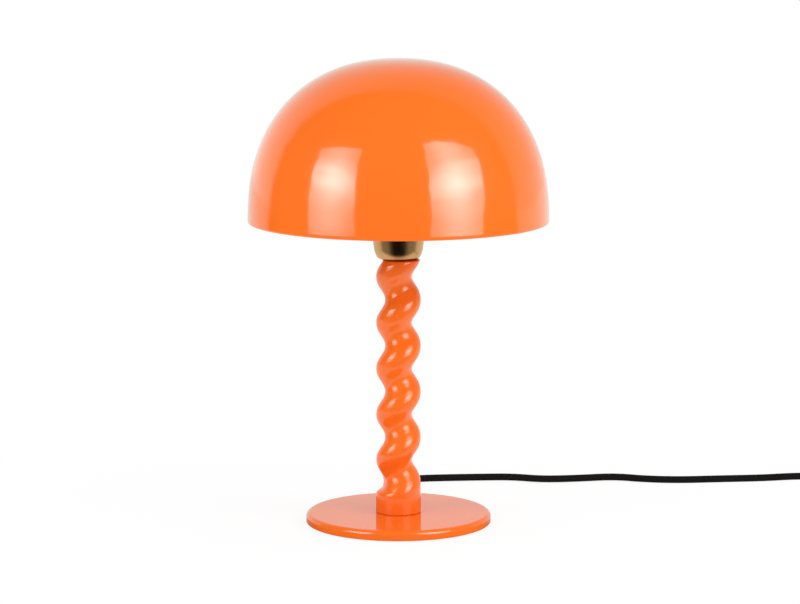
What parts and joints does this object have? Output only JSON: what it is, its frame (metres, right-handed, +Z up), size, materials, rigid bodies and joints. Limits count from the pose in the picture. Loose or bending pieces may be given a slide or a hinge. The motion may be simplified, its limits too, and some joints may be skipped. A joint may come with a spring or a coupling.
{
  "type": "table lamp",
  "caption": "Table lamp with a deep glossy dome on a barley-twist stem, a brass cup round the lampholder, a round base, and a braided mains cord with in-line switch and plug.",
  "frame": {"origin": "middle of the base pad's underside, on the table", "axes": "+Z up along the stem, +Y towards the back where the cord leaves, +X to the viewer's right"},
  "size_m": [0.6459, 0.2984, 0.3921],
  "materials": {
    "lacquered_steel": "high-gloss orange lacquer on steel sheet and plate",
    "lacquered_wood": "high-gloss orange lacquer on turned wood",
    "felt": "pressed felt",
    "steel": "zinc-plated steel",
    "brass": "satin lacquered brass",
    "black_plastic": "fine moulded texture",
    "white_ceramic": "glazed ceramic",
    "opal_glass": "opal white glass",
    "nickel": "nickel plate",
    "brown_lead": "extruded insulation",
    "blue_lead": "extruded insulation",
    "braided_cord": "black textile braid",
    "woven_strap": "black woven tape"
  },
  "bodies": {
    "lamp": {"base_pad": "felt", "base_plate": "lacquered_steel", "base_screw_1": "steel", "base_screw_2": "steel", "base_screw_3": "steel", "bulb_cap": "nickel", "bulb_contact": "brass", "bulb_glass": "opal_glass", "bulb_insulator": "black_plastic", "centre_contact": "brass", "coil_strap": "woven_strap", "cord_coil": "braided_cord", "cord_end": "braided_cord", "cord_gland": "black_plastic", "cord_lead": "braided_cord", "cord_tail": "braided_cord", "cup_nut": "steel", "holder_cap": "black_plastic", "holder_insert": "white_ceramic", "holder_skirt": "black_plastic", "lead_live": "brown_lead", "lead_neutral": "blue_lead", "nipple": "steel", "plug_body": "black_plastic", "plug_pin_1": "nickel", "plug_pin_2": "nickel", "plug_relief": "black_plastic", "ring_nut": "black_plastic", "screw_shell": "brass", "shade": "lacquered_steel", "socket_cup": "brass", "spider_arm_1": "steel", "spider_arm_2": "steel", "spider_arm_3": "steel", "spider_ring": "steel", "stem": "lacquered_wood", "stem_bush": "steel", "switch_base": "black_plastic", "switch_cover": "black_plastic"},
    "rocker": {"switch_rocker": "black_plastic"}
  },
  "joints": [
    {"name": "switch_rock", "type": "hinge", "parent": "lamp", "child": "rocker", "pos_m": [0.413, 0.159, 0.01405], "axis": [0, 1, 0], "range_deg": [0, 20]}
  ]
}
